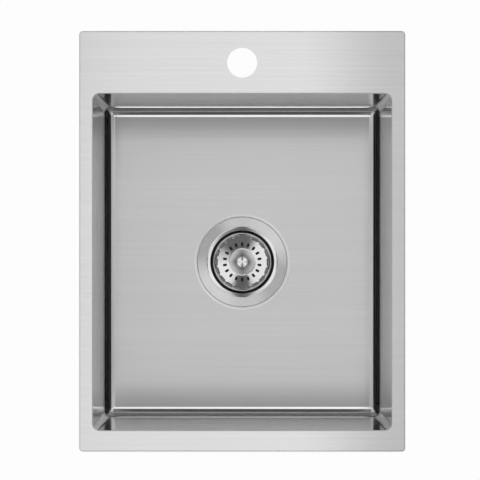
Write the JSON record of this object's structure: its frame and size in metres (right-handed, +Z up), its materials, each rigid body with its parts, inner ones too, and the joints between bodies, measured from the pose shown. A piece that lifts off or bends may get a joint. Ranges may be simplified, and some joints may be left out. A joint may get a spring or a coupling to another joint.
{
  "type": "laundry sink",
  "caption": "Drop-in laundry sink of brushed stainless steel with one deep bowl, a tap ledge with a tap hole, a basket strainer waste and fixing clips.",
  "frame": {"origin": "on the waste axis, in the plane of the worktop that the rim rests on", "axes": "+Z up out of the bowl, +Y towards the tap ledge at the back, +X to the right seen from the front"},
  "size_m": [0.38, 0.49, 0.278],
  "materials": {
    "sheet_steel": "brushed",
    "waste_steel": "circular brushed",
    "basket_steel": "polished",
    "bright_steel": "polished",
    "clip_steel": "zinc plated",
    "tail_brass": "nickel plated",
    "seal_foam": "closed-cell foam",
    "pad_rubber": "matte",
    "black_rubber": "matte",
    "nut_plastic": "moulded",
    "slip_plastic": "moulded"
  },
  "bodies": {
    "sink": {"rim_deck": "sheet_steel", "bowl": "sheet_steel", "rim_seal": "seal_foam", "pad_left": "pad_rubber", "pad_right": "pad_rubber", "pad_front": "pad_rubber", "pad_back": "pad_rubber", "pad_base_front": "pad_rubber", "pad_base_back": "pad_rubber", "clip_bridges": "clip_steel", "clip_hangers": "clip_steel", "strainer_body": "waste_steel", "flange_gasket": "black_rubber", "under_gasket": "black_rubber", "friction_ring": "slip_plastic", "back_nut": "nut_plastic", "tail_gasket": "black_rubber", "outlet_tail": "tail_brass", "tail_nut": "nut_plastic"},
    "plunger": {"basket_post": "bright_steel", "knob": "bright_steel", "stopper": "black_rubber", "stopper_washer": "bright_steel", "detent_ring": "bright_steel"},
    "basket": {"basket": "basket_steel"},
    "screw_left_front": {"clip_screw_left_front": "clip_steel"},
    "nut_left_front": {"clip_nut_left_front": "clip_steel"},
    "claw_left_front": {"clip_claw_left_front": "clip_steel"},
    "screw_left_back": {"clip_screw_left_back": "clip_steel"},
    "nut_left_back": {"clip_nut_left_back": "clip_steel"},
    "claw_left_back": {"clip_claw_left_back": "clip_steel"},
    "screw_right_front": {"clip_screw_right_front": "clip_steel"},
    "nut_right_front": {"clip_nut_right_front": "clip_steel"},
    "claw_right_front": {"clip_claw_right_front": "clip_steel"},
    "screw_right_back": {"clip_screw_right_back": "clip_steel"},
    "nut_right_back": {"clip_nut_right_back": "clip_steel"},
    "claw_right_back": {"clip_claw_right_back": "clip_steel"}
  },
  "joints": [
    {"name": "basket_lift", "type": "slide", "parent": "sink", "child": "plunger", "axis": [0, 0, 1], "range_m": [0, 0.27]},
    {"name": "basket_spin", "type": "hinge", "parent": "plunger", "child": "basket", "pos_m": [0, 0, -0.2176], "axis": [0, 0, 1], "continuous": true},
    {"name": "clamp_screw_left_front", "type": "hinge", "parent": "sink", "child": "screw_left_front", "pos_m": [-0.1834, -0.13, -0.0545], "axis": [0, 0, -1], "range_deg": [0, 10080]},
    {"name": "clamp_nut_left_front", "type": "slide", "parent": "sink", "child": "nut_left_front", "axis": [0, 0, 1], "range_m": [0, 0.028]},
    {"name": "claw_swing_left_front", "type": "hinge", "parent": "nut_left_front", "child": "claw_left_front", "pos_m": [-0.1834, -0.13, -0.0545], "axis": [0, 0, 1], "range_deg": [0, 90]},
    {"name": "clamp_screw_left_back", "type": "hinge", "parent": "sink", "child": "screw_left_back", "pos_m": [-0.1834, 0.13, -0.0545], "axis": [0, 0, -1], "range_deg": [0, 10080]},
    {"name": "clamp_nut_left_back", "type": "slide", "parent": "sink", "child": "nut_left_back", "axis": [0, 0, 1], "range_m": [0, 0.028]},
    {"name": "claw_swing_left_back", "type": "hinge", "parent": "nut_left_back", "child": "claw_left_back", "pos_m": [-0.1834, 0.13, -0.0545], "axis": [0, 0, -1], "range_deg": [0, 90]},
    {"name": "clamp_screw_right_front", "type": "hinge", "parent": "sink", "child": "screw_right_front", "pos_m": [0.1834, -0.13, -0.0545], "axis": [0, 0, -1], "range_deg": [0, 10080]},
    {"name": "clamp_nut_right_front", "type": "slide", "parent": "sink", "child": "nut_right_front", "axis": [0, 0, 1], "range_m": [0, 0.028]},
    {"name": "claw_swing_right_front", "type": "hinge", "parent": "nut_right_front", "child": "claw_right_front", "pos_m": [0.1834, -0.13, -0.0545], "axis": [0, 0, -1], "range_deg": [0, 90]},
    {"name": "clamp_screw_right_back", "type": "hinge", "parent": "sink", "child": "screw_right_back", "pos_m": [0.1834, 0.13, -0.0545], "axis": [0, 0, -1], "range_deg": [0, 10080]},
    {"name": "clamp_nut_right_back", "type": "slide", "parent": "sink", "child": "nut_right_back", "axis": [0, 0, 1], "range_m": [0, 0.028]},
    {"name": "claw_swing_right_back", "type": "hinge", "parent": "nut_right_back", "child": "claw_right_back", "pos_m": [0.1834, 0.13, -0.0545], "axis": [0, 0, 1], "range_deg": [0, 90]}
  ],
  "couplings": [
    {"joint": "clamp_screw_left_front", "follows": "clamp_nut_left_front", "rad_per_m": 6283.2},
    {"joint": "clamp_screw_left_back", "follows": "clamp_nut_left_back", "rad_per_m": 6283.2},
    {"joint": "clamp_screw_right_front", "follows": "clamp_nut_right_front", "rad_per_m": 6283.2},
    {"joint": "clamp_screw_right_back", "follows": "clamp_nut_right_back", "rad_per_m": 6283.2}
  ]
}
